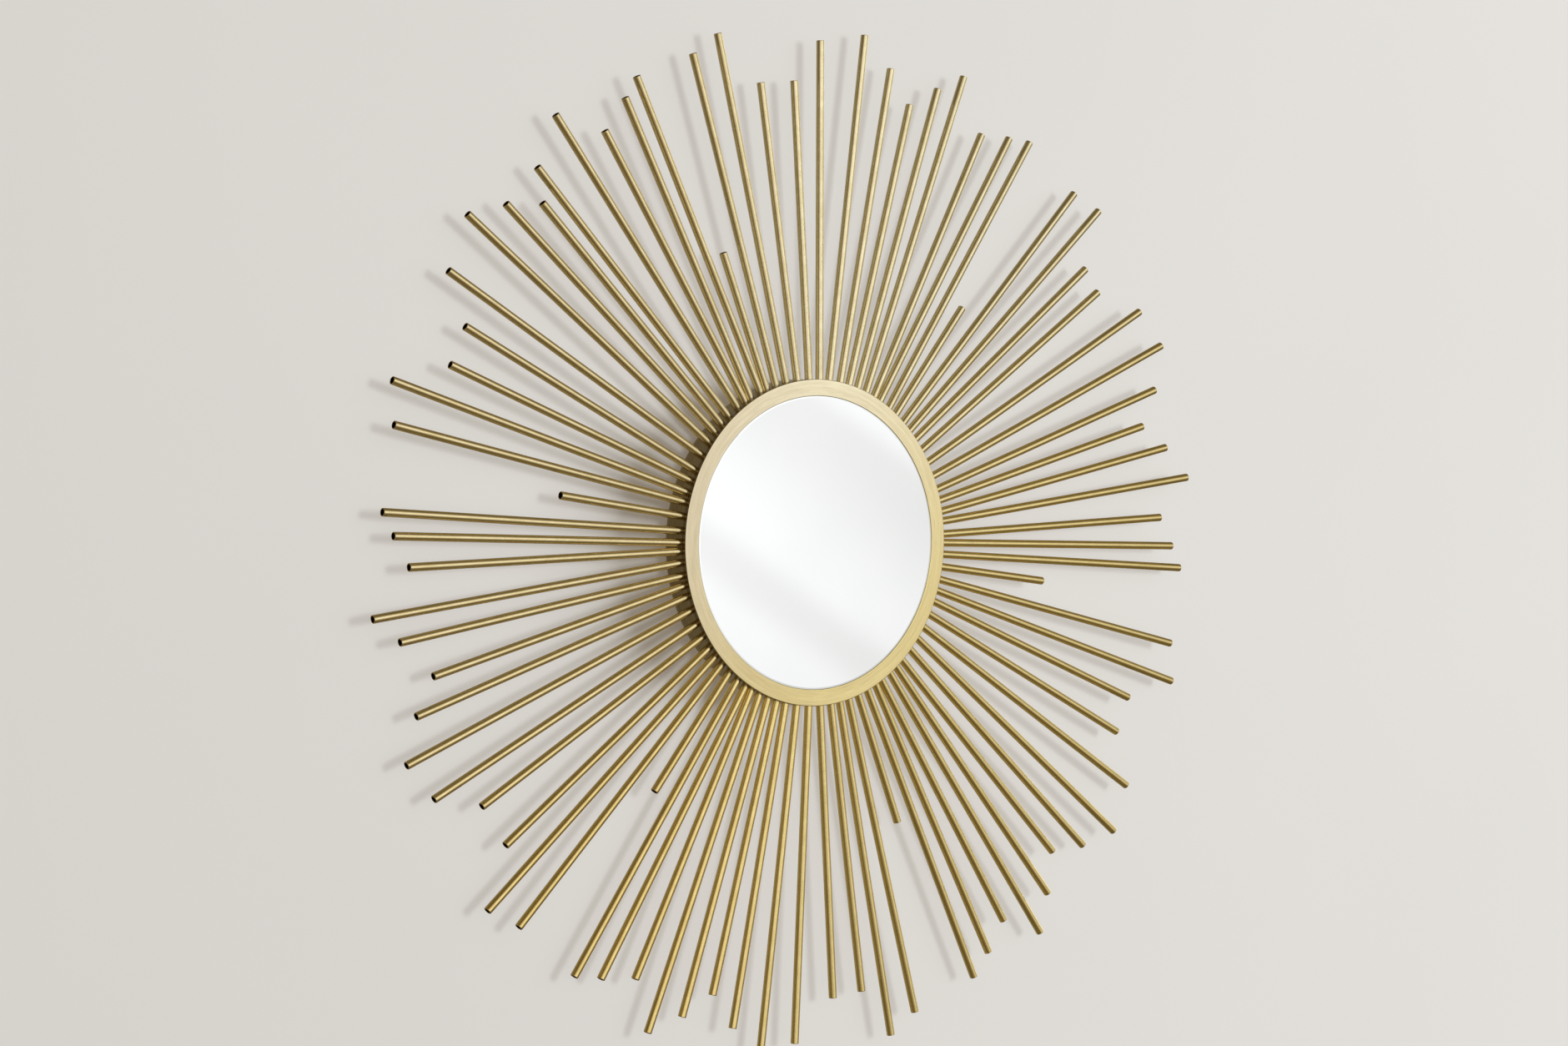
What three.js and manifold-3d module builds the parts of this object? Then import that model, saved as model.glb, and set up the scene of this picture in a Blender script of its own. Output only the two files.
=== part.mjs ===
// Sunburst wall mirror: a round glass set in a brass ring on a shallow drum, with hollow brass
// tubes standing out of the drum's wall like rays, in a pattern that repeats six times.
// Millimetres, +Z up. The wall is the plane y = 0, the mirror faces -Y and the rays' centre is x = z = 0.
// Angles on the face are degrees clockwise from the top, as somebody facing the mirror sees them.
import * as THREE from "three";
import { mergeVertices } from "three/addons/utils/BufferGeometryUtils.js";
import Module from "manifold-3d";

// Clearances: between pieces that touch, and between the tubes' inner ends and the glass recess
const SEAM = 0.3;
const ROOT_CLEARANCE = 2;

// How far a cut runs out past the surface that it starts or ends at
const CUT_OVERRUN = 1;

// Drum: a can of sheet metal, open at the front, with its back plate on the wall
const FRAME_DEPTH = 26;
const DRUM_RADIUS = 127;
const DRUM_SHEET = 1.5;
const DRUM_BACK_CHAMFER = 0.8;

// Face ring: a flat ring as wide as the drum, with a stepped recess behind its opening for the glass
const RING_FACE_WIDTH = 13;
const RING_THICKNESS = 3.5;
const RING_EDGE_CHAMFER = 0.4;
const RECESS_SHEET = 1.5;
const GLASS_SEAT_WIDTH = 9;

// Glass
const GLASS_THICKNESS = 3;
const GLASS_SET_BACK = 0.4;
const GLASS_BEVEL = 0.6;

// Tubes
const TUBE_DIAMETER = 6.35;
const TUBE_WALL = 0.8;
const TIE_THICKNESS = 2;
const TIE_SHARE_OF_ROOT = 0.6;

// Keyhole slot in the back plate, for the head and the shank of a wall screw
const KEYHOLE_HEIGHT = 90;
const KEYHOLE_ENTRY_DIAMETER = 10;
const KEYHOLE_SLOT_WIDTH = 5;
const KEYHOLE_SLOT_RISE = 12;

// How far from the centre each length of ray reaches
const REACH = { long: 400, high: 390, middle: 380, low: 367, lowest: 358, stub: 239 };

// One sixth of the rays. tip and root are the places of a tube's two ends round the face, at its
// reach and at the drum's wall, in degrees on from the start of the sixth. Few tubes are quite radial.
const SIXTHS = 6;
const FIRST_RAY_ANGLE = -20.8;
const RAY_PLACES = [
  { tip: 0.0, root: 0.4, reach: REACH.stub },
  { tip: 4.7, root: 4.8, reach: REACH.high },
  { tip: 8.8, root: 8.8, reach: REACH.long },
  { tip: 13.0, root: 12.8, reach: REACH.lowest },
  { tip: 17.9, root: 17.6, reach: REACH.lowest },
  { tip: 22.8, root: 22.7, reach: REACH.high },
  { tip: 28.2, root: 28.0, reach: REACH.long },
  { tip: 32.6, root: 33.0, reach: REACH.middle },
  { tip: 36.5, root: 37.0, reach: REACH.lowest },
  { tip: 40.1, root: 41.0, reach: REACH.middle },
  { tip: 44.0, root: 45.0, reach: REACH.long },
  { tip: 48.6, root: 48.9, reach: REACH.low },
  { tip: 52.6, root: 51.9, reach: REACH.middle },
  { tip: 55.5, root: 56.0, reach: REACH.high },
];

// Tubes fixed by hand a little off their place, by sixth and place, in degrees clockwise: how far
// the tip has strayed at its reach, and how far the root has strayed at the drum's wall
const STRAY_TIPS = [
  { 0: -0.4, 1: -1.0, 2: -1.2, 3: -0.3, 5: -0.9, 10: -0.8 },
  { 4: -1.2, 5: -0.4, 6: -0.6, 7: -0.3, 8: -0.3, 9: -0.3, 12: -0.3, 13: -0.5 },
  { 0: -0.6, 1: -0.3, 5: 0.3, 6: 0.5, 7: 0.4, 8: 0.4, 9: 0.9, 10: 0.8, 13: 0.4 },
  { 1: 0.8, 2: 0.7, 4: -0.3, 5: 0.6, 11: -0.4, 13: 0.4 },
  { 1: 0.6, 2: 0.7, 3: 0.5, 4: 1.4, 5: 0.6, 8: -0.3, 9: 0.9, 11: 0.5, 13: -0.4 },
  { 0: 0.3, 1: -0.3, 5: -0.6, 6: 0.3, 8: -0.3, 9: -1.6, 12: 0.4 },
];
const STRAY_ROOTS = [
  { 0: -0.5, 1: -0.6, 3: 1.0, 4: 1.4, 5: 1.0, 13: 0.6 },
  { 10: -0.6 },
  { 6: -0.6, 7: -0.6, 8: 0.5, 10: -0.5 },
  {},
  { 9: -0.5 },
  { 0: 0.6, 1: 1.1, 2: 0.5, 3: 0.7, 5: 0.7, 6: 0.7, 10: 0.9, 11: 0.8, 12: 0.5, 13: 1.0 },
];

// Facets round a tube, round the drum, ring and glass, and on each arc of the keyhole
const TUBE_SIDES = 8;
const ROUND_SIDES = 64;
const KEYHOLE_ARC_STEPS = 8;

// Corners closer together than this are one corner
const SAME_CORNER = 1e-4;

// Worked out from the sizes above; y is negative in front of the wall
const FACE_Y = -FRAME_DEPTH;
const RING_BACK_Y = FACE_Y + RING_THICKNESS;
const DRUM_FRONT_Y = RING_BACK_Y + SEAM;
const TUBE_RADIUS = TUBE_DIAMETER / 2;
const RAY_PLANE_Y = RING_BACK_Y + SEAM + TUBE_RADIUS;
const SIGHT_RADIUS = DRUM_RADIUS - RING_FACE_WIDTH;
const RECESS_OUTER_RADIUS = SIGHT_RADIUS + RECESS_SHEET;
const GLASS_FRONT_Y = FACE_Y + GLASS_SET_BACK;
const GLASS_BACK_Y = GLASS_FRONT_Y + GLASS_THICKNESS;
const SEAT_FRONT_Y = GLASS_BACK_Y + SEAM;
const SEAT_BACK_Y = SEAT_FRONT_Y + RECESS_SHEET;
const ROOT_RADIUS = RECESS_OUTER_RADIUS + ROOT_CLEARANCE;
const DRUM_INNER_RADIUS = DRUM_RADIUS - DRUM_SHEET;

const wasm = await Module();
wasm.setup();

// A closed three.js geometry as a solid that can be cut and joined.
function solidOf(geometry) {
  const bare = geometry.clone();
  bare.deleteAttribute("normal");
  bare.deleteAttribute("uv");
  const merged = mergeVertices(bare, SAME_CORNER);
  return new wasm.Manifold(
    new wasm.Mesh({
      numProp: 3,
      vertProperties: merged.attributes.position.array,
      triVerts: new Uint32Array(merged.index.array),
    }),
  );
}

// The solid's surface as a three.js geometry with flat faces.
function geometryOf(solid) {
  const mesh = solid.getMesh();
  const indexed = new THREE.BufferGeometry();
  indexed.setAttribute("position", new THREE.BufferAttribute(mesh.vertProperties, 3));
  indexed.setIndex(new THREE.BufferAttribute(mesh.triVerts, 1));
  const flat = indexed.toNonIndexed();
  flat.computeVertexNormals();
  return flat;
}

// The direction of a place on the face, from the rays' centre.
function towards(degrees) {
  const angle = THREE.MathUtils.degToRad(degrees);
  return new THREE.Vector3(Math.sin(angle), 0, Math.cos(angle));
}

// Turns +Y along the given direction on the face and +X towards the wall.
function turnAlong(direction) {
  const back = new THREE.Vector3(0, 1, 0);
  const across = new THREE.Vector3().crossVectors(back, direction);
  return new THREE.Matrix4().makeBasis(back, direction, across);
}

// A body of revolution about the Y axis, from its half outline of [radius, y] corners.
function turned(corners) {
  const outline = corners.map(([radius, y]) => new THREE.Vector2(radius, y));
  return new THREE.LatheGeometry(outline, ROUND_SIDES);
}

// A straight round bar between two points, with a flat of its facets towards the front.
function bar(start, end, radius) {
  const axis = new THREE.Vector3().subVectors(end, start);
  const length = axis.length();
  const halfFacet = Math.PI / TUBE_SIDES;
  return new THREE.CylinderGeometry(radius, radius, length, TUBE_SIDES, 1, false, halfFacet)
    .translate(0, length / 2, 0)
    .applyMatrix4(turnAlong(axis.normalize()))
    .translate(start.x, start.y, start.z);
}

// Every tube's two ends, in order round the face.
function layOutRays() {
  const rays = [];
  for (let sixth = 0; sixth < SIXTHS; sixth++) {
    const start = FIRST_RAY_ANGLE + (sixth * 360) / SIXTHS;
    RAY_PLACES.forEach(({ tip, root, reach }, place) => {
      const strayRoot = STRAY_ROOTS[sixth][place] ?? 0;
      const strayTip = STRAY_TIPS[sixth][place] ?? 0;
      const wallPoint = towards(start + root + strayRoot).multiplyScalar(DRUM_RADIUS);
      const tipPoint = towards(start + tip + strayTip).multiplyScalar(reach);
      const direction = new THREE.Vector3().subVectors(tipPoint, wallPoint).normalize();
      const rootPoint = wallPoint.clone().addScaledVector(direction, ROOT_RADIUS - DRUM_RADIUS);
      for (const point of [wallPoint, tipPoint, rootPoint]) point.setY(RAY_PLANE_Y);
      rays.push({ root: rootPoint, wall: wallPoint, tip: tipPoint, direction });
    });
  }
  return rays;
}

// The short tie that joins two neighbouring tubes inside the drum's wall, where it is out of sight.
function tieBetween(first, second) {
  const rootLength = DRUM_INNER_RADIUS - ROOT_RADIUS;
  const from = first.root.clone().addScaledVector(first.direction, rootLength / 2);
  const to = second.root.clone().addScaledVector(second.direction, rootLength / 2);
  const middle = new THREE.Vector3().addVectors(from, to).divideScalar(2);
  const outward = new THREE.Vector3(middle.x, 0, middle.z).normalize();
  return new THREE.BoxGeometry(TIE_THICKNESS, rootLength * TIE_SHARE_OF_ROOT, from.distanceTo(to))
    .applyMatrix4(turnAlong(outward))
    .translate(middle.x, middle.y, middle.z);
}

// Two neighbouring tubes on their tie, with both bores open from end to end.
function makeRayPair(first, second) {
  let pair = solidOf(tieBetween(first, second));
  for (const ray of [first, second]) {
    pair = pair.add(solidOf(bar(ray.root, ray.tip, TUBE_RADIUS)));
  }
  for (const ray of [first, second]) {
    const start = ray.root.clone().addScaledVector(ray.direction, -CUT_OVERRUN);
    const end = ray.tip.clone().addScaledVector(ray.direction, CUT_OVERRUN);
    pair = pair.subtract(solidOf(bar(start, end, TUBE_RADIUS - TUBE_WALL)));
  }
  return geometryOf(pair);
}

// The open-fronted slot in the drum's wall that a tube lies in.
function raySlot(ray) {
  const width = TUBE_DIAMETER + 2 * SEAM;
  const bottom = RAY_PLANE_Y + TUBE_RADIUS + SEAM;
  const top = DRUM_FRONT_Y - CUT_OVERRUN;
  const length = DRUM_SHEET + 4 * CUT_OVERRUN;
  const slot = new THREE.BoxGeometry(bottom - top, length, width);
  const through = ray.wall.clone().addScaledVector(ray.direction, -DRUM_SHEET / 2);
  return slot.applyMatrix4(turnAlong(ray.direction)).translate(through.x, (bottom + top) / 2, through.z);
}

// The keyhole through the back plate: a round entry for the screw's head, and the slot above it.
function keyhole() {
  const depth = DRUM_SHEET + 2 * CUT_OVERRUN;
  const outline = new THREE.Shape();
  const entryRadius = KEYHOLE_ENTRY_DIAMETER / 2;
  const slotRadius = KEYHOLE_SLOT_WIDTH / 2;
  const neck = Math.asin(slotRadius / entryRadius);
  outline.absarc(0, 0, entryRadius, Math.PI / 2 + neck, Math.PI / 2 - neck + 2 * Math.PI, false);
  outline.absarc(0, KEYHOLE_SLOT_RISE, slotRadius, 0, Math.PI, false);
  return new THREE.ExtrudeGeometry(outline, { depth, bevelEnabled: false, curveSegments: KEYHOLE_ARC_STEPS })
    .translate(0, 0, -depth / 2)
    .rotateX(Math.PI / 2)
    .translate(0, -DRUM_SHEET / 2, KEYHOLE_HEIGHT);
}

function makeDrum(rays) {
  const plateFrontY = -DRUM_SHEET;
  const outline = [
    [0, 0],
    [DRUM_RADIUS - DRUM_BACK_CHAMFER, 0],
    [DRUM_RADIUS, -DRUM_BACK_CHAMFER],
    [DRUM_RADIUS, DRUM_FRONT_Y],
    [DRUM_INNER_RADIUS, DRUM_FRONT_Y],
    [DRUM_INNER_RADIUS, plateFrontY],
    [0, plateFrontY],
  ];
  let drum = solidOf(turned(outline.reverse()));
  for (const ray of rays) {
    drum = drum.subtract(solidOf(raySlot(ray)));
  }
  return geometryOf(drum.subtract(solidOf(keyhole())));
}

// The face ring in one piece: its flat face, the wall of the recess and the seat behind the glass.
function makeFaceRing() {
  const outline = [
    [SIGHT_RADIUS, FACE_Y],
    [DRUM_RADIUS - RING_EDGE_CHAMFER, FACE_Y],
    [DRUM_RADIUS, FACE_Y + RING_EDGE_CHAMFER],
    [DRUM_RADIUS, RING_BACK_Y],
    [RECESS_OUTER_RADIUS, RING_BACK_Y],
    [RECESS_OUTER_RADIUS, SEAT_BACK_Y],
    [SIGHT_RADIUS - GLASS_SEAT_WIDTH, SEAT_BACK_Y],
    [SIGHT_RADIUS - GLASS_SEAT_WIDTH, SEAT_FRONT_Y],
    [SIGHT_RADIUS, SEAT_FRONT_Y],
    [SIGHT_RADIUS, FACE_Y],
  ];
  return geometryOf(solidOf(turned(outline)));
}

function makeGlass() {
  const glassRadius = SIGHT_RADIUS - SEAM;
  const outline = [
    [0, GLASS_FRONT_Y],
    [glassRadius - GLASS_BEVEL, GLASS_FRONT_Y],
    [glassRadius, GLASS_FRONT_Y + GLASS_BEVEL],
    [glassRadius, GLASS_BACK_Y],
    [0, GLASS_BACK_Y],
  ];
  return geometryOf(solidOf(turned(outline)));
}

// Materials
function satinBrass(color, roughness) {
  return new THREE.MeshStandardMaterial({ color, roughness, metalness: 1 });
}

function silveredGlass() {
  return new THREE.MeshStandardMaterial({ color: 0xf2f4f4, roughness: 0.03, metalness: 1 });
}

const mirror = new THREE.Group();

function addPiece(name, geometry, material) {
  const piece = new THREE.Mesh(geometry, material);
  piece.name = name;
  mirror.add(piece);
}

const rays = layOutRays();
addPiece("drum", makeDrum(rays), satinBrass(0x9c8248, 0.45));
addPiece("face_ring", makeFaceRing(), satinBrass(0xe3d2a2, 0.35));
addPiece("mirror_glass", makeGlass(), silveredGlass());

// The tubes go two by two, so that all of them stay within the number of pieces that a part may have.
// The pairs start at the second place, which puts the two closest tubes of a sixth in one pair.
for (let pair = 0; pair < rays.length / 2; pair++) {
  const first = rays[2 * pair + 1];
  const second = rays[(2 * pair + 2) % rays.length];
  const name = "ray_pair_" + String(pair + 1).padStart(2, "0");
  addPiece(name, makeRayPair(first, second), satinBrass(0xb79d5c, 0.35));
}

export default mirror;
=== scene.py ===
"""Looks of the sunburst wall mirror: fine brass tubes, face ring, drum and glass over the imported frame.

Metres, +Z up. The wall is the plane y = 0 and the mirror faces -Y, as in the frame.
"""
import math
import random

import bmesh
import bpy
from mathutils import Matrix, Vector


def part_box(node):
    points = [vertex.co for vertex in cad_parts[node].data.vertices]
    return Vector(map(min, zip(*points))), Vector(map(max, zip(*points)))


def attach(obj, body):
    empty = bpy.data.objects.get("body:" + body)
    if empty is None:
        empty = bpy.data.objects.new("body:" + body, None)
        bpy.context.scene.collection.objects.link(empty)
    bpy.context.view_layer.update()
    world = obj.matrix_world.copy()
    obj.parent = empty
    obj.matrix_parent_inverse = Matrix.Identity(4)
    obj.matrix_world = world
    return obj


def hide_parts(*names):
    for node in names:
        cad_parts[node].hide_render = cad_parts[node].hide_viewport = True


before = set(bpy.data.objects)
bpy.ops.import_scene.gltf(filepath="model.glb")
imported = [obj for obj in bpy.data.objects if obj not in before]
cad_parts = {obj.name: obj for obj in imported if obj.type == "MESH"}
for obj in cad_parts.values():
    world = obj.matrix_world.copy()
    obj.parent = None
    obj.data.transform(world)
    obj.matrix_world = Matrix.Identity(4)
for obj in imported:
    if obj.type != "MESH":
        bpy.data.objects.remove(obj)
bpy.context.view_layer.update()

MM = 0.001

# Photograph and camera: the pinhole camera that the photograph was taken with
PHOTO_WIDTH = 1880
PHOTO_HEIGHT = 1254
FOCAL_PIXELS = 4505
SENSOR_WIDTH_MM = 36
CAMERA_YAW = math.radians(37.2)
CAMERA_PITCH = math.radians(-1.52)
CAMERA_DISTANCE = 2.924
RAYS_CENTRE_PIXEL = (974.4, 650.5)
CAMERA_CLIP_START = 0.05

# Drum, ring and glass, as in the frame
DRUM_RADIUS = 127 * MM
DRUM_SHEET = 1.5 * MM
RING_THICKNESS = 3.5 * MM
RING_FACE_WIDTH = 13 * MM
RECESS_SHEET = 1.5 * MM
GLASS_SEAT_WIDTH = 9 * MM

# Fine edges that the frame doesn't have: how much further the glass reaches out, so that no gap shows
# round it, its ground bevel, and the eased edges of the ring and the drum
GLASS_SEAM = 0.28 * MM
GLASS_BEVEL = 1.2 * MM
GLASS_BEVEL_DEPTH = 0.1 * MM
EDGE_RADIUS = 0.5 * MM
DRUM_EDGE_RADIUS = 0.8 * MM

# A row of points this far in from an eased edge keeps the flat beside it shaded flat
HOLD = 0.3 * MM

# Places closer together than this are the same place
TOUCH = 0.01 * MM

# Keyhole, and the block that cuts it through the back plate
KEYHOLE_HEIGHT = 90 * MM
KEYHOLE_ENTRY_RADIUS = 5 * MM
KEYHOLE_SLOT_RADIUS = 2.5 * MM
KEYHOLE_SLOT_RISE = 12 * MM
CUTTER_FRONT = -4 * MM
CUTTER_DEPTH = 6 * MM

# Tubes: the wall, the eased outer and inner edges of the sawn rim, and how far a saw cut may lean
TUBE_WALL = 0.8 * MM
RIM_RADIUS = 0.3 * MM
BORE_RIM_RADIUS = RIM_RADIUS * 0.6
CUT_TILT = math.radians(1.2)

# How much of the bore's painted shade a tube's rim takes on
RIM_PAINTED_SHADE = 0.25

# How a tube is found in its solid: where its tip can be, how squarely the tip's faces look outwards,
# how far apart they lie, and how far from its axis its points lie, against its radius
TIP_RADIUS_FROM = 200 * MM
TIP_FACING = 0.9
TIP_FACES_WITHIN = 7 * MM
TUBE_REACH = 1.02

# Tie between the two tubes of a pair, and its place beyond their roots
TIE_THICKNESS = 2 * MM
TIE_HALF_LENGTH = 2.4 * MM
TIE_LEAST_HALF_GAP = 0.2 * MM
TIE_FROM_ROOT = 4 * MM

# Fineness of the round meshes
TUBE_SIDES = 40
RING_SIDES = 288
ARC_STEPS = 4
KEYHOLE_ENTRY_STEPS = 28
KEYHOLE_SLOT_STEPS = 14

# Radius of the circle that the grain of turned metal is laid on, which sets how slowly it changes round it
TURNED_GRAIN_RADIUS = 4 * MM

RANDOM_SEED = 84


# Geometry helpers


def arc(centre, radius, start, end, steps=ARC_STEPS):
    """Points of a circular arc in the outline's plane, from one angle to another, in degrees."""
    points = []
    for step in range(steps + 1):
        angle = math.radians(start + (end - start) * step / steps)
        points.append((centre[0] + radius * math.cos(angle), centre[1] + radius * math.sin(angle)))
    return points


class Builder:
    """Collects the vertices and faces of one piece, with a place on the metal's grain and a mask for painted
    shade and for the glass's ground edge, for each vertex.
    """

    def __init__(self):
        self.points = []
        self.faces = []
        self.grain = []
        self.shade_and_edge = []

    def add_point(self, point, grain, shade_and_edge):
        self.points.append(point)
        self.grain.append(grain)
        self.shade_and_edge.append(shade_and_edge)
        return len(self.points) - 1

    def revolve(self, outline, sides, place, grain, shade_and_edge):
        """Turns a closed outline of (radius, along) points into a ring of faces.

        place, grain and the mask of painted shade and glass edge are functions of (radius, along, angle).
        """
        rings = []
        for radius, along in outline:
            if radius == 0:
                pole = self.add_point(place(0, along, 0), grain(0, along, 0), shade_and_edge(0, along, 0))
                rings.append([pole] * sides)
                continue
            ring = []
            for side in range(sides):
                angle = 2 * math.pi * side / sides
                values = (radius, along, angle)
                ring.append(self.add_point(place(*values), grain(*values), shade_and_edge(*values)))
            rings.append(ring)
        count = len(rings)
        for index in range(count):
            low = rings[index]
            high = rings[(index + 1) % count]
            for side in range(sides):
                after = (side + 1) % sides
                corners = [low[side], low[after], high[after], high[side]]
                face = [c for n, c in enumerate(corners) if c != corners[n - 1]]
                if len(face) > 2:
                    self.faces.append(face)

    def add_box(self, centre, half_sizes, axes):
        """A plain box, for what is out of sight."""
        corners = []
        for x in (-1, 1):
            for y in (-1, 1):
                for z in (-1, 1):
                    shift = axes[0] * half_sizes[0] * x + axes[1] * half_sizes[1] * y
                    point = centre + shift + axes[2] * half_sizes[2] * z
                    corners.append(self.add_point(point, point, 0))
        for face in ((0, 1, 3, 2), (4, 6, 7, 5), (0, 4, 5, 1), (2, 3, 7, 6), (0, 2, 6, 4), (1, 5, 7, 3)):
            self.faces.append([corners[n] for n in face])

    def finish(self, name, sharp_degrees=35):
        mesh = bpy.data.meshes.new(name)
        mesh.from_pydata([tuple(p) for p in self.points], [], self.faces)
        grain = mesh.attributes.new("grain", "FLOAT_VECTOR", "POINT")
        grain.data.foreach_set("vector", [c for g in self.grain for c in g])
        shade_and_edge = mesh.attributes.new("shade_and_edge", "FLOAT", "POINT")
        shade_and_edge.data.foreach_set("value", self.shade_and_edge)
        work = bmesh.new()
        work.from_mesh(mesh)
        bmesh.ops.recalc_face_normals(work, faces=work.faces)
        work.to_mesh(mesh)
        work.free()
        for polygon in mesh.polygons:
            polygon.use_smooth = True
        mesh.set_sharp_from_angle(angle=math.radians(sharp_degrees))
        piece = bpy.data.objects.new(name, mesh)
        bpy.context.scene.collection.objects.link(piece)
        return piece


def about_y(radius, along, angle):
    """A place on a body of revolution about the Y axis."""
    return Vector((radius * math.sin(angle), along, radius * math.cos(angle)))


def spun_grain(radius, along, angle):
    """A place on turned metal: quick change across the turning marks, slow change along them."""
    slow = TURNED_GRAIN_RADIUS
    return Vector((slow * math.sin(angle), slow * math.cos(angle), radius + along))


def unshaded(radius, along, angle):
    """The painted shade of a piece that has the same tone all over: none."""
    return 0


# Tubes


def tube_axes(node):
    """The root, tip and outer radius of both tubes in one pair, read from the frame's solid."""
    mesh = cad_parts[node].data
    tips = []
    for polygon in mesh.polygons:
        centre = polygon.center
        outward = Vector((centre.x, 0, centre.z))
        if outward.length < TIP_RADIUS_FROM or polygon.normal.dot(outward.normalized()) < TIP_FACING:
            continue
        for tip in tips:
            if (tip["centre"] - centre).length < TIP_FACES_WITHIN:
                tip["corners"].update(tuple(mesh.vertices[v].co) for v in polygon.vertices)
                break
        else:
            corners = {tuple(mesh.vertices[v].co) for v in polygon.vertices}
            tips.append({"centre": centre.copy(), "normal": polygon.normal.copy(), "corners": corners})
    axes = []
    for tip in tips:
        corners = [Vector(c) for c in tip["corners"]]
        low = Vector(tuple(min(c[n] for c in corners) for n in range(3)))
        high = Vector(tuple(max(c[n] for c in corners) for n in range(3)))
        end = (low + high) / 2
        radius = max((c - end).length for c in corners)
        back = 0
        for vertex in mesh.vertices:
            reach = vertex.co - end
            along = reach.dot(tip["normal"])
            if (reach - tip["normal"] * along).length < radius * TUBE_REACH:
                back = min(back, along)
        axes.append({"root": end + tip["normal"] * back, "tip": end, "radius": radius})
    return axes


def add_tube(builder, axis, chance):
    """One round tube, open at both ends, with its sawn rim eased."""
    along_axis = (axis["tip"] - axis["root"]).normalized()
    length = (axis["tip"] - axis["root"]).length
    back = Vector((0, 1, 0))
    across = back.cross(along_axis).normalized()
    outer = axis["radius"]
    inner = outer - TUBE_WALL
    outline = [(outer, 0), (outer, length - RIM_RADIUS - HOLD)]
    outline += arc((outer - RIM_RADIUS, length - RIM_RADIUS), RIM_RADIUS, 0, 90)
    outline += arc((inner + BORE_RIM_RADIUS, length - BORE_RIM_RADIUS), BORE_RIM_RADIUS, 90, 180)
    outline += [(inner, length - BORE_RIM_RADIUS - HOLD), (inner, 0)]
    tilt = [chance.uniform(-1, 1) * math.tan(CUT_TILT) for _ in range(2)]
    shift = Vector([chance.uniform(-1, 1) for _ in range(3)])
    turn = chance.uniform(0, 2 * math.pi)

    def place(radius, along, angle):
        sideways = back * math.cos(angle) * radius + across * math.sin(angle) * radius
        cut = 0
        if along > length / 2:
            cut = -abs(tilt[0]) * (outer + radius * math.sin(angle + turn))
        return axis["root"] + sideways + along_axis * (along + cut)

    def grain(radius, along, angle):
        return Vector((radius * math.cos(angle), radius * math.sin(angle), along)) + shift

    # Painted shade: the bore is painted dark, and the rim takes on part of that dark tone.
    def shade_and_edge(radius, along, angle):
        if radius < inner + RIM_RADIUS:
            return 1
        return RIM_PAINTED_SHADE if radius < outer - RIM_RADIUS / 2 else 0

    builder.revolve(outline, TUBE_SIDES, place, grain, shade_and_edge)


def make_ray_pair(node, chance):
    """Two tubes on the short tie that joins them inside the drum's wall."""
    axes = tube_axes(node)
    builder = Builder()
    for axis in axes:
        add_tube(builder, axis, chance)
    ends = [a["root"] + (a["tip"] - a["root"]).normalized() * TIE_FROM_ROOT for a in axes]
    middle = (ends[0] + ends[1]) / 2
    outward = Vector((middle.x, 0, middle.z)).normalized()
    back = Vector((0, 1, 0))
    half_gap = max((ends[0] - ends[1]).length / 2 - axes[0]["radius"], TIE_LEAST_HALF_GAP)
    half_sizes = (TIE_THICKNESS / 2, TIE_HALF_LENGTH, half_gap)
    builder.add_box(middle, half_sizes, (back, outward, back.cross(outward)))
    return builder.finish(node + "_tubes")


# Face ring, glass and drum


def make_face_ring():
    """The flat ring with eased edges and painted shade on its side wall, and the stepped recess behind its
    opening.
    """
    low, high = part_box("face_ring")
    face = low.y
    back = high.y
    sight = DRUM_RADIUS - RING_FACE_WIDTH
    seat_front = back - RECESS_SHEET
    ease = EDGE_RADIUS
    outline = [(sight, face + ease + HOLD)]
    outline += arc((sight + ease, face + ease), ease, 180, 270)
    outline += [(sight + ease + HOLD, face), (DRUM_RADIUS - ease - HOLD, face)]
    outline += arc((DRUM_RADIUS - ease, face + ease), ease, 270, 360)
    outline += [
        (DRUM_RADIUS, face + ease + HOLD),
        (DRUM_RADIUS, face + RING_THICKNESS),
        (sight + RECESS_SHEET, face + RING_THICKNESS),
        (sight + RECESS_SHEET, back),
        (sight - GLASS_SEAT_WIDTH, back),
        (sight - GLASS_SEAT_WIDTH, seat_front),
        (sight, seat_front),
    ]

    # Painted shade on the ring's outer side wall.
    def shade_and_edge(radius, along, angle):
        return 1 if radius > DRUM_RADIUS - TOUCH else 0

    builder = Builder()
    builder.revolve(outline, RING_SIDES, about_y, spun_grain, shade_and_edge)
    return builder.finish("face_ring_turned", sharp_degrees=50)


def make_glass():
    """The flat glass with a narrow ground bevel round its edge, close up against the ring."""
    low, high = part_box("mirror_glass")
    radius = (high.x - low.x) / 2 + GLASS_SEAM
    outline = [
        (0, low.y),
        (radius - GLASS_BEVEL, low.y),
        (radius, low.y + GLASS_BEVEL_DEPTH),
        (radius, high.y),
        (0, high.y),
    ]

    def shade_and_edge(distance, along, angle):
        return 1 if distance > radius - GLASS_BEVEL / 2 else 0

    builder = Builder()
    builder.revolve(outline, RING_SIDES, about_y, about_y, shade_and_edge)
    return builder.finish("mirror_glass_bevelled", sharp_degrees=2)


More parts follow.
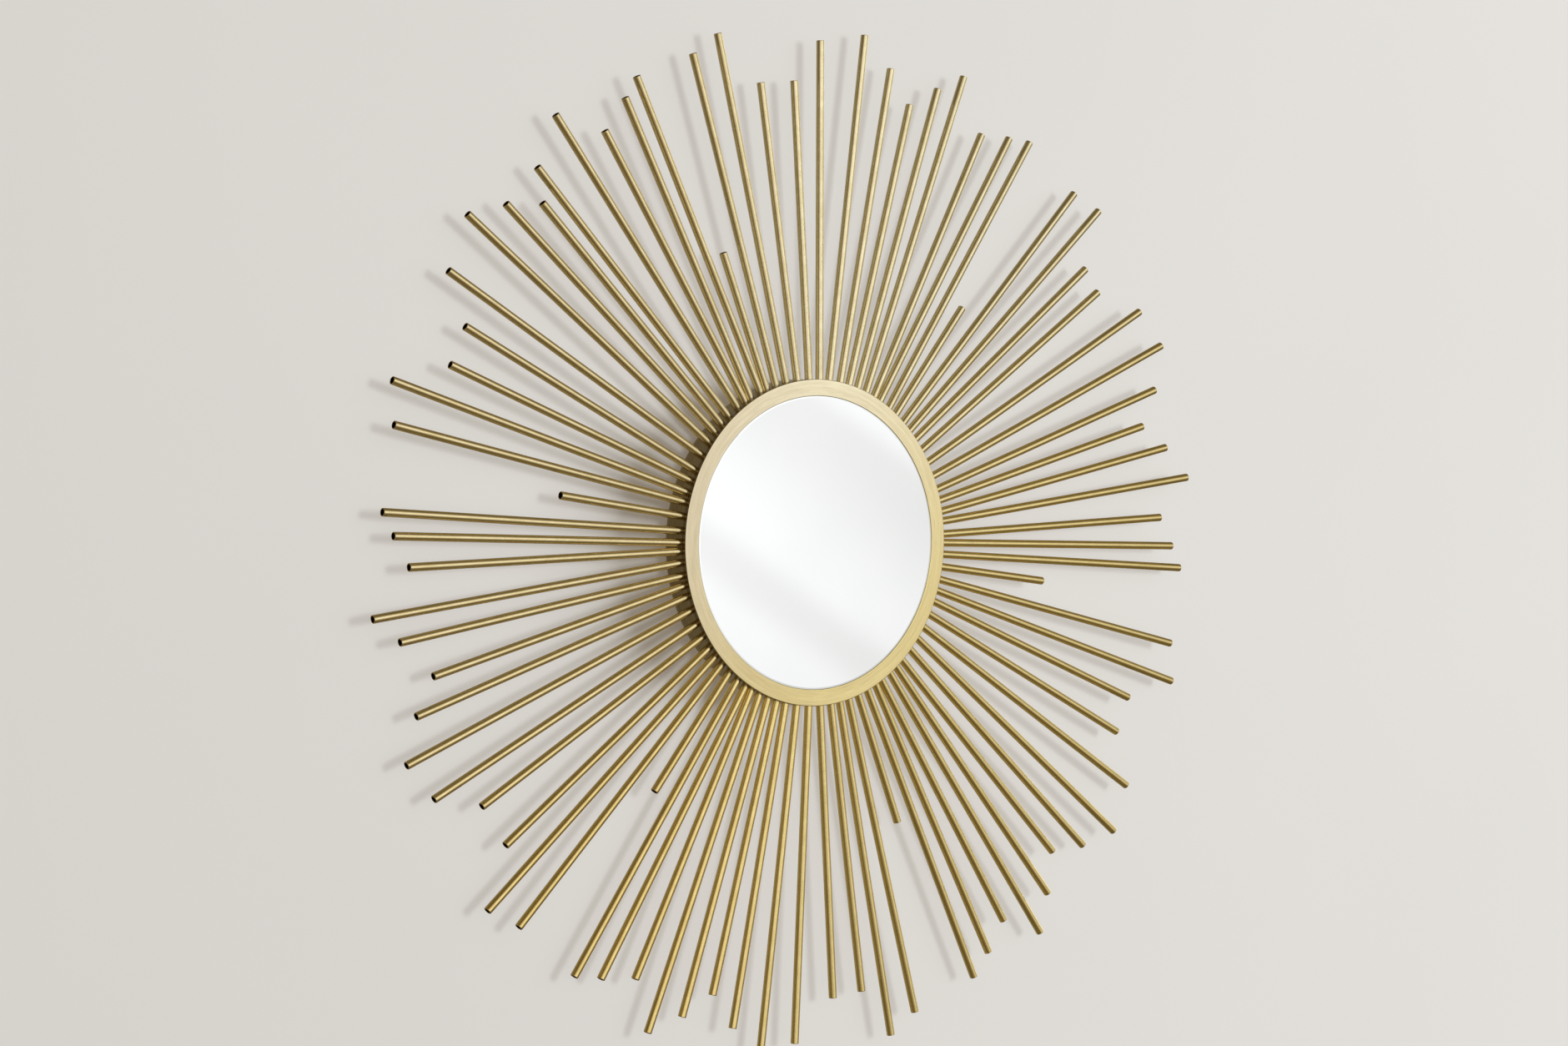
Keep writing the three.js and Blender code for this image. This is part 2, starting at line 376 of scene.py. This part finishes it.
def keyhole_cutter():
    """The keyhole's outline as a closed block, to cut through the back plate."""
    neck = math.degrees(math.asin(KEYHOLE_SLOT_RADIUS / KEYHOLE_ENTRY_RADIUS))
    outline = arc((0, 0), KEYHOLE_ENTRY_RADIUS, 90 + neck, 450 - neck, KEYHOLE_ENTRY_STEPS)
    outline += arc((0, KEYHOLE_SLOT_RISE), KEYHOLE_SLOT_RADIUS, 0, 180, KEYHOLE_SLOT_STEPS)
    work = bmesh.new()
    front = [work.verts.new((x, CUTTER_FRONT, z + KEYHOLE_HEIGHT)) for x, z in outline]
    work.faces.new(front)
    grown = bmesh.ops.extrude_face_region(work, geom=list(work.faces))
    moved = [v for v in grown["geom"] if isinstance(v, bmesh.types.BMVert)]
    bmesh.ops.translate(work, verts=moved, vec=(0, CUTTER_DEPTH, 0))
    bmesh.ops.recalc_face_normals(work, faces=work.faces)
    mesh = bpy.data.meshes.new("keyhole_cutter")
    work.to_mesh(mesh)
    work.free()
    cutter = bpy.data.objects.new("keyhole_cutter", mesh)
    bpy.context.scene.collection.objects.link(cutter)
    return cutter


def make_drum():
    """The can behind the ring: side wall with a rolled back edge, and the back plate with its keyhole."""
    low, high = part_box("drum")
    front = low.y
    back = high.y
    bend = DRUM_EDGE_RADIUS
    inner = DRUM_RADIUS - DRUM_SHEET
    outline = [(0, back), (DRUM_RADIUS - bend - HOLD, back)]
    outline += arc((DRUM_RADIUS - bend, back - bend), bend, 90, 0)
    outline += [(DRUM_RADIUS, back - bend - HOLD), (DRUM_RADIUS, front), (inner, front)]
    outline += [(inner, back - DRUM_SHEET), (0, back - DRUM_SHEET)]
    builder = Builder()
    builder.revolve(outline, RING_SIDES, about_y, spun_grain, unshaded)
    drum = builder.finish("drum_can", sharp_degrees=40)
    cutter = keyhole_cutter()
    cut = drum.modifiers.new("keyhole", "BOOLEAN")
    cut.object = cutter
    cut.operation = "DIFFERENCE"
    cut.solver = "EXACT"
    bpy.context.view_layer.update()
    done = bpy.data.meshes.new_from_object(drum.evaluated_get(bpy.context.evaluated_depsgraph_get()))
    drum.modifiers.clear()
    drum.data = done
    bpy.data.objects.remove(cutter)
    return drum


# Materials

# How much the painted light tint (a warmer, more golden tone laid on towards the lower right, standing in
# for how the light falls there) follows the way to the right, against the way down, and where the painted
# shade towards the left ends, right of the middle, as a share of the drum's radius
PAINTED_LIGHT_SIDEWAYS = 0.6
PAINTED_SHADE_ENDS = 0.03

# The noise's values lie mostly between these
NOISE_LOW = 0.3
NOISE_HIGH = 0.7


class Tree:
    """Short calls for one node tree."""

    def __init__(self, tree):
        self.tree = tree

    def add(self, kind, inputs=None, **settings):
        node = self.tree.nodes.new(kind)
        for key, value in settings.items():
            setattr(node, key, value)
        for key, value in (inputs or {}).items():
            if isinstance(value, bpy.types.NodeSocket):
                self.tree.links.new(value, node.inputs[key])
            else:
                node.inputs[key].default_value = value
        return node

    def math(self, operation, first, second=0.0):
        return self.add("ShaderNodeMath", {0: first, 1: second}, operation=operation).outputs[0]

    def ramp(self, value, start, end, to_start=0.0, to_end=1.0):
        """A smooth step between two values."""
        inputs = {"Value": value, "From Min": start, "From Max": end, "To Min": to_start, "To Max": to_end}
        return self.add("ShaderNodeMapRange", inputs, interpolation_type="SMOOTHSTEP").outputs["Result"]


class Nodes(Tree):
    """Short calls for one material's node tree."""

    def __init__(self, name):
        self.material = bpy.data.materials.new(name)
        self.material.use_nodes = True
        super().__init__(self.material.node_tree)
        self.shader = self.tree.nodes["Principled BSDF"]

    def attribute(self, name):
        return self.add("ShaderNodeAttribute", attribute_name=name)

    def noise(self, vector, scale, detail=2.0, stretch=(1, 1, 1)):
        """Noise over the given places, stretched by a factor along each axis; mean about 0.5."""
        mapped = self.add("ShaderNodeMapping", {"Vector": vector, "Scale": [scale / s for s in stretch]})
        inputs = {"Vector": mapped.outputs["Vector"], "Scale": 1.0, "Detail": detail}
        return self.add("ShaderNodeTexNoise", inputs).outputs["Fac"]

    def remap(self, value, low, high, to_low, to_high):
        inputs = {"Value": value, "From Min": low, "From Max": high, "To Min": to_low, "To Max": to_high}
        return self.add("ShaderNodeMapRange", inputs).outputs["Result"]

    def spread(self, noise, to_low=0.0, to_high=1.0):
        """Noise brought to the given range."""
        return self.remap(noise, NOISE_LOW, NOISE_HIGH, to_low, to_high)

    def mix_colour(self, factor, first, second, blend="MIX"):
        inputs = {0: factor, 6: first, 7: second}
        return self.add("ShaderNodeMix", inputs, data_type="RGBA", blend_type=blend).outputs[2]

    def place_on_object(self):
        place = self.add("ShaderNodeTexCoord").outputs["Object"]
        return self.add("ShaderNodeSeparateXYZ", {0: place}).outputs

    def towards_lower_right(self):
        """0 at the ring's upper left and 1 at its lower right, by the place on the object: where the painted
        light tint goes.
        """
        parts = self.place_on_object()
        lean = self.math("SUBTRACT", self.math("MULTIPLY", parts["X"], PAINTED_LIGHT_SIDEWAYS), parts["Z"])
        return self.ramp(lean, -DRUM_RADIUS, DRUM_RADIUS)

    def towards_left(self):
        """1 at the ring's left and 0 from about its middle on, by the place on the object: where the painted
        shade goes.
        """
        across = self.place_on_object()["X"]
        return self.remap(across, -DRUM_RADIUS, DRUM_RADIUS * PAINTED_SHADE_ENDS, 1.0, 0.0)

    def bump(self, height, strength, distance):
        inputs = {"Height": height, "Strength": strength, "Distance": distance}
        normal = self.add("ShaderNodeBump", inputs).outputs["Normal"]
        self.drive("Normal", normal)

    def drive(self, socket, value):
        self.tree.links.new(value, self.shader.inputs[socket])


def rgba(red, green, blue):
    return (red, green, blue, 1.0)


def darker(colour, share):
    """A shade of a colour: the given share of its light."""
    return rgba(*[c * share for c in colour])


# Brass: how fine the brushed lines and the specks are, how dark and strong they show, how much the
# roughness varies, and the relief of the brushing
BRUSHING_SCALE = 2600
SPECK_SCALE = 1500
SPECK_LEVELS = (0.56, 0.70)
SPECK_SHADE = 0.35
LINE_SHADE = 0.6
LINE_STRENGTH = 0.22
BRUSHED_GLOSS_LEVELS = (0.25, 0.75)
BRUSHED_GLOSS = 0.06
PATINA_GLOSS = (-0.03, 0.05)
SPECK_RELIEF = 0.6
BRASS_BUMP = 0.12
BRASS_RELIEF = 0.05 * MM


def brass(name, light, dark, roughness, brush_stretch, speckle, mottle_scale, painted_light_tint, painted_left_shade, painted_shade=None):
    """Satin brass: brushed grain, fine specks and a faint uneven patina.

    The tint given for the lower right is painted light, a warmer tone where the light falls, and the one
    given for the left is painted shade.
    The last colour is the dark tone painted where the mask is 1, as painted shade: inside a tube, in part on
    its rim, and on the ring's side wall.
    """
    nodes = Nodes(name)
    grain = nodes.attribute("grain").outputs["Vector"]
    brushing = nodes.noise(grain, BRUSHING_SCALE, detail=3.0, stretch=brush_stretch)
    mottling = nodes.noise(grain, mottle_scale, detail=4.0)
    specks = nodes.noise(grain, SPECK_SCALE)
    tone = nodes.mix_colour(nodes.spread(mottling), rgba(*light), rgba(*dark))
    # Painted light: a warmer, more golden tone laid on towards the lower right.
    tone = nodes.mix_colour(nodes.towards_lower_right(), tone, rgba(*painted_light_tint), "MULTIPLY")
    # Painted shade: a darker tone laid on towards the left.
    tone = nodes.mix_colour(nodes.towards_left(), tone, rgba(*painted_left_shade), "MULTIPLY")
    pits = nodes.remap(specks, *SPECK_LEVELS, 0.0, speckle)
    tone = nodes.mix_colour(pits, tone, darker(dark, SPECK_SHADE))
    tone = nodes.mix_colour(nodes.spread(brushing, 0.0, LINE_STRENGTH), tone, darker(dark, LINE_SHADE))
    # Painted shade where the mask is 1.
    if painted_shade:
        tone = nodes.mix_colour(nodes.attribute("shade_and_edge").outputs["Fac"], tone, rgba(*painted_shade))
    nodes.drive("Base Color", tone)
    nodes.shader.inputs["Metallic"].default_value = 1.0
    gloss = nodes.remap(brushing, *BRUSHED_GLOSS_LEVELS, roughness - BRUSHED_GLOSS, roughness + BRUSHED_GLOSS)
    nodes.drive("Roughness", nodes.math("ADD", gloss, nodes.spread(mottling, *PATINA_GLOSS)))
    height = nodes.math("ADD", brushing, nodes.math("MULTIPLY", specks, SPECK_RELIEF))
    nodes.bump(height, BRASS_BUMP, BRASS_RELIEF)
    return nodes.material


# Glass: its haze and dust, how rough they leave it, its two tones of silver and its ground edge
HAZE_SCALE = 14
DUST_SCALE = 260
DUST_LEVELS = (0.6, 0.8)
HAZE_GLOSS = (0.012, 0.03)
DUST_GLOSS = 0.03
COAT_ROUGHNESS = 0.01
SILVER_LIGHT = (0.935, 0.945, 0.955)
SILVER_DARK = (0.91, 0.925, 0.935)
GLASS_EDGE_COLOUR = (0.80, 0.88, 0.84)
GLASS_EDGE_STRENGTH = 0.5
GLASS_BUMP = 0.02
GLASS_RELIEF = 0.2 * MM


def mirror_glass():
    """Silvered glass: a clear surface over silver, with the faintest haze, and a greenish ground edge."""
    nodes = Nodes("mirror_glass")
    place = nodes.attribute("grain").outputs["Vector"]
    edge = nodes.attribute("shade_and_edge").outputs["Fac"]
    haze = nodes.noise(place, HAZE_SCALE, detail=3.0)
    dust = nodes.noise(place, DUST_SCALE)
    silver = nodes.mix_colour(nodes.spread(haze), rgba(*SILVER_LIGHT), rgba(*SILVER_DARK))
    ground = nodes.math("MULTIPLY", edge, GLASS_EDGE_STRENGTH)
    nodes.drive("Base Color", nodes.mix_colour(ground, silver, rgba(*GLASS_EDGE_COLOUR)))
    nodes.shader.inputs["Metallic"].default_value = 1.0
    dusty = nodes.remap(dust, *DUST_LEVELS, 0.0, DUST_GLOSS)
    nodes.drive("Roughness", nodes.math("ADD", nodes.spread(haze, *HAZE_GLOSS), dusty))
    nodes.shader.inputs["Coat Weight"].default_value = 1.0
    nodes.shader.inputs["Coat Roughness"].default_value = COAT_ROUGHNESS
    nodes.bump(haze, GLASS_BUMP, GLASS_RELIEF)
    return nodes.material


# Paint of the floor and the backdrop
PAINT_CLOUD_SCALE = 1.3
PAINT_FADED = 0.965
PAINT_ROUGHNESS = 0.9
PAINT_SPECULAR = 0.1


def pale_paint(name, colour, glow):
    """Plain matt paint for the floor and the backdrop, a little uneven; its glow softens its shadows."""
    nodes = Nodes(name)
    place = nodes.add("ShaderNodeTexCoord").outputs["Object"]
    uneven = nodes.spread(nodes.noise(place, PAINT_CLOUD_SCALE, detail=3.0))
    nodes.drive("Base Color", nodes.mix_colour(uneven, rgba(*colour), darker(colour, PAINT_FADED)))
    nodes.shader.inputs["Roughness"].default_value = PAINT_ROUGHNESS
    nodes.shader.inputs["Specular IOR Level"].default_value = PAINT_SPECULAR
    nodes.shader.inputs["Emission Color"].default_value = rgba(*glow)
    nodes.shader.inputs["Emission Strength"].default_value = 1.0
    return nodes


def one_sided(nodes):
    """Lets what is behind the backdrop be seen from behind it."""
    output = nodes.tree.nodes["Material Output"]
    clear = nodes.add("ShaderNodeBsdfTransparent")
    side = nodes.add("ShaderNodeNewGeometry").outputs["Backfacing"]
    inputs = {0: side, 1: nodes.shader.outputs["BSDF"], 2: clear.outputs["BSDF"]}
    mix = nodes.add("ShaderNodeMixShader", inputs)
    nodes.tree.links.new(mix.outputs["Shader"], output.inputs["Surface"])
    return nodes.material


# Stage, light and camera


def add_plane(name, corners, material):
    mesh = bpy.data.meshes.new(name)
    mesh.from_pydata(corners, [], [(0, 1, 2, 3)])
    plane = bpy.data.objects.new(name, mesh)
    plane.data.materials.append(material)
    plane.visible_glossy = False
    plane.visible_diffuse = False
    bpy.context.scene.collection.objects.link(plane)
    return plane


FLOOR_Z = -1.5
STAGE_HALF_WIDTH = 6.0
STAGE_HEIGHT = 4.0
BACKDROP_Y = 1.0 * MM
FLOOR_COLOUR = (0.50, 0.50, 0.49)
FLOOR_GLOW = (0.16, 0.158, 0.152)
BACKDROP_COLOUR = (0.437, 0.449, 0.458)
BACKDROP_GLOW = (0.16, 0.13, 0.10)


def make_stage():
    """The pale floor, and the pale backdrop that the mirror hangs on. Neither shows in the metal."""
    floor_paint = pale_paint("floor_paint", FLOOR_COLOUR, FLOOR_GLOW)
    half = STAGE_HALF_WIDTH
    floor = [(-half, -half, FLOOR_Z), (half, -half, FLOOR_Z), (half, half, FLOOR_Z), (-half, half, FLOOR_Z)]
    add_plane("floor", floor, floor_paint.material)
    wall_paint = pale_paint("backdrop_paint", BACKDROP_COLOUR, BACKDROP_GLOW)
    top = FLOOR_Z + STAGE_HEIGHT
    ends = ((-half, FLOOR_Z), (half, FLOOR_Z), (half, top), (-half, top))
    wall = [(x, BACKDROP_Y, z) for x, z in ends]
    backdrop = add_plane("backdrop", wall, one_sided(wall_paint))
    backdrop.visible_shadow = False


def direction(azimuth, elevation):
    """A direction in front of the mirror: azimuth 0 straight out, positive to the right, in degrees."""
    a = math.radians(azimuth)
    e = math.radians(elevation)
    return Vector((math.sin(a) * math.cos(e), -math.cos(a) * math.cos(e), math.sin(e)))


def add_light(name, azimuth, elevation, distance, width, height, power):
    """A soft box that faces the mirror and casts the shadows; the metal reflects the studio's glow alone."""
    light = bpy.data.lights.new(name, "AREA")
    light.shape = "RECTANGLE"
    light.size = width
    light.size_y = height
    light.energy = power
    lamp = bpy.data.objects.new(name, light)
    lamp.location = direction(azimuth, elevation) * distance
    lamp.rotation_euler = lamp.location.to_track_quat("Z", "Y").to_euler()
    lamp.visible_camera = False
    lamp.visible_glossy = False
    bpy.context.scene.collection.objects.link(lamp)
    return lamp


def shade_only_behind(lamp, pieces):
    """Lets only the given pieces cast this lamp's shadow, so that the thin tubes don't dim the wall."""
    blockers = bpy.data.collections.new(lamp.name + "_blockers")
    for piece in pieces:
        blockers.objects.link(piece)
    lamp.light_linking.blocker_collection = blockers


# The studio's soft glow round the mirror, as patches of light: azimuth and elevation of the middle,
# half width and half height, all in degrees, and strength
GLOW_PATCHES = [
    (-23, 7, 26, 21, 0.86),
    (24, 8, 30, 26, 1.10),
    (38, -2, 12, 12, 0.14),
    (99, 8, 24, 14, 1.40),
]
GLOW_COLOUR = (0.965, 1.0, 1.05)
DIM_SURROUNDINGS = (0.150, 0.120, 0.062)

# Glow behind the wall, with how far back it begins and where it is full
BEHIND_GLOW = 0.20
BEHIND_FROM = 0.1
BEHIND_FULL = 0.9

# What the camera sees where nothing stands
BACKGROUND_COLOUR = (0.9, 0.895, 0.88)
BACKGROUND_STRENGTH = 0.82

# Soft diagonal folds in the glow, which show as streaks in the glass: how far they lean, the azimuth
# that they are counted from, and where each fades in, is full, starts to fade and ends, with its depth
FOLD_LEAN = math.radians(36)
FOLD_AZIMUTH = 37.7
FOLDS = [
    (-3.15, -2.55, -2.45, -1.95, 0.12),
    (-1.90, 0.05, 0.15, 0.60, 0.15),
]


class World(Tree):
    """Short calls for the world's node tree."""

    def __init__(self):
        world = bpy.data.worlds.new("studio")
        bpy.context.scene.world = world
        world.use_nodes = True
        super().__init__(world.node_tree)
        self.tree.nodes.clear()

    def patch(self, azimuth, elevation, values):
        """One soft oval patch of light."""
        middle, height, half_width, half_height, strength = values
        aside = self.math("DIVIDE", self.math("SUBTRACT", azimuth, middle), half_width)
        above = self.math("DIVIDE", self.math("SUBTRACT", elevation, height), half_height)
        distance = self.math("ADD", self.math("POWER", aside, 2.0), self.math("POWER", above, 2.0))
        fade = self.math("EXPONENT", self.math("MULTIPLY", distance, -1.0))
        return self.math("MULTIPLY", fade, strength)

    def fold(self, across, values):
        """How much of the light one diagonal fold leaves."""
        start, full, fading, end, depth = values
        rising = self.ramp(across, start, full)
        falling = self.ramp(across, fading, end, 1.0, 0.0)
        shade = self.math("MULTIPLY", rising, falling)
        return self.math("SUBTRACT", 1.0, self.math("MULTIPLY", shade, depth))


def make_world():
    """Soft glow in front with faint diagonal folds, dim warm surroundings and a plain pale background."""
    world = World()
    look = world.add("ShaderNodeTexCoord").outputs["Generated"]
    parts = world.add("ShaderNodeSeparateXYZ", {0: look}).outputs
    outward = world.math("MULTIPLY", parts["Y"], -1.0)
    azimuth = world.math("DEGREES", world.math("ARCTAN2", parts["X"], outward))
    elevation = world.math("DEGREES", world.math("ARCSINE", parts["Z"]))
    total = world.ramp(parts["Y"], BEHIND_FROM, BEHIND_FULL, 0.0, BEHIND_GLOW)
    for values in GLOW_PATCHES:
        total = world.math("ADD", total, world.patch(azimuth, elevation, values))
    sideways = world.math("MULTIPLY", world.math("SUBTRACT", azimuth, FOLD_AZIMUTH), math.sin(FOLD_LEAN))
    across = world.math("ADD", world.math("MULTIPLY", elevation, math.cos(FOLD_LEAN)), sideways)
    for values in FOLDS:
        total = world.math("MULTIPLY", total, world.fold(across, values))
    glow = world.add("ShaderNodeBackground", {"Color": rgba(*GLOW_COLOUR), "Strength": total})
    dim = world.add("ShaderNodeBackground", {"Color": rgba(*DIM_SURROUNDINGS), "Strength": 1.0})
    background = {"Color": rgba(*BACKGROUND_COLOUR), "Strength": BACKGROUND_STRENGTH}
    pale = world.add("ShaderNodeBackground", background)
    light = world.add("ShaderNodeAddShader", {0: glow.outputs[0], 1: dim.outputs[0]})
    seen = world.add("ShaderNodeLightPath").outputs["Is Camera Ray"]
    mix = world.add("ShaderNodeMixShader", {0: seen, 1: light.outputs[0], 2: pale.outputs[0]})
    world.add("ShaderNodeOutputWorld", {"Surface": mix.outputs[0]})


def make_camera():
    """The photograph's own viewpoint, from the left of the mirror and a little above its middle."""
    yaw = CAMERA_YAW
    pitch = CAMERA_PITCH
    level = math.cos(pitch)
    forward = Vector((math.sin(yaw) * level, math.cos(yaw) * level, math.sin(pitch)))
    right = Vector((math.cos(yaw), -math.sin(yaw), 0))
    up = right.cross(forward)
    rays_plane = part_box("ray_pair_01")
    middle = Vector((0, (rays_plane[0].y + rays_plane[1].y) / 2, 0))
    per_pixel = CAMERA_DISTANCE / FOCAL_PIXELS
    aside = (RAYS_CENTRE_PIXEL[0] - PHOTO_WIDTH / 2) * per_pixel
    below = (RAYS_CENTRE_PIXEL[1] - PHOTO_HEIGHT / 2) * per_pixel
    place = middle - forward * CAMERA_DISTANCE - right * aside + up * below
    data = bpy.data.cameras.new("photo_camera")
    data.sensor_fit = "HORIZONTAL"
    data.sensor_width = SENSOR_WIDTH_MM
    data.lens = SENSOR_WIDTH_MM * FOCAL_PIXELS / PHOTO_WIDTH
    data.clip_start = CAMERA_CLIP_START
    camera = bpy.data.objects.new("photo_camera", data)
    axes = Matrix((right, up, -forward)).transposed()
    camera.matrix_world = Matrix.Translation(place) @ axes.to_4x4()
    bpy.context.scene.collection.objects.link(camera)
    bpy.context.scene.camera = camera


def dress(piece, node, material):
    """Puts a finished piece in a frame node's place."""
    piece.data.materials.clear()
    piece.data.materials.append(material)
    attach(piece, "root")
    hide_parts(node)


make_camera()
make_stage()
make_world()
add_light("key_front", azimuth=14, elevation=6, distance=4.0, width=0.8, height=0.8, power=50)
side_light = add_light(
    "side_right",
    azimuth=68,
    elevation=4,
    distance=14.0,
    width=5.5,
    height=4.5,
    power=3000,
)

ray_brass = brass(
    "ray_brass",
    light=(0.95, 0.83, 0.54),
    dark=(0.87, 0.74, 0.43),
    # Painted shade in the bore and, in part, on the rim
    painted_shade=(0.26, 0.165, 0.08),
    roughness=0.20,
    brush_stretch=(1, 1, 14),
    speckle=0.45,
    mottle_scale=90,
    # Painted light towards the lower right, painted shade at the left
    painted_light_tint=(1.0, 0.91, 0.62),
    painted_left_shade=(0.95, 0.90, 0.79),
)
ring_brass = brass(
    "ring_brass",
    light=(0.99, 0.89, 0.635),
    dark=(0.95, 0.83, 0.57),
    # Painted shade on the side wall
    painted_shade=(0.17, 0.12, 0.055),
    roughness=0.27,
    brush_stretch=(1, 1, 1),
    speckle=0.12,
    mottle_scale=420,
    # Painted light towards the lower right, painted shade at the left
    painted_light_tint=(0.93, 0.86, 0.58),
    painted_left_shade=(0.78, 0.75, 0.74),
)
# Painted shade: the drum's brass has a far darker base than the ring's. It stands in for the shade that its
# side wall lies in between the tubes.
drum_brass = brass(
    "drum_brass",
    light=(0.42, 0.33, 0.165),
    dark=(0.33, 0.25, 0.115),
    roughness=0.26,
    brush_stretch=(1, 1, 1),
    speckle=0.3,
    mottle_scale=300,
    # Painted light towards the lower right, painted shade at the left
    painted_light_tint=(0.95, 0.92, 0.80),
    painted_left_shade=(0.68, 0.64, 0.56),
)

chance = random.Random(RANDOM_SEED)
drum_can = make_drum()
ring = make_face_ring()
glass = make_glass()
dress(drum_can, "drum", drum_brass)
dress(ring, "face_ring", ring_brass)
dress(glass, "mirror_glass", mirror_glass())
shade_only_behind(side_light, (drum_can, ring, glass))
for name in sorted(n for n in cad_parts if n.startswith("ray_pair_")):
    dress(make_ray_pair(name, chance), name, ray_brass)

bpy.context.scene.view_settings.view_transform = "Standard"

bpy.context.view_layer.update()
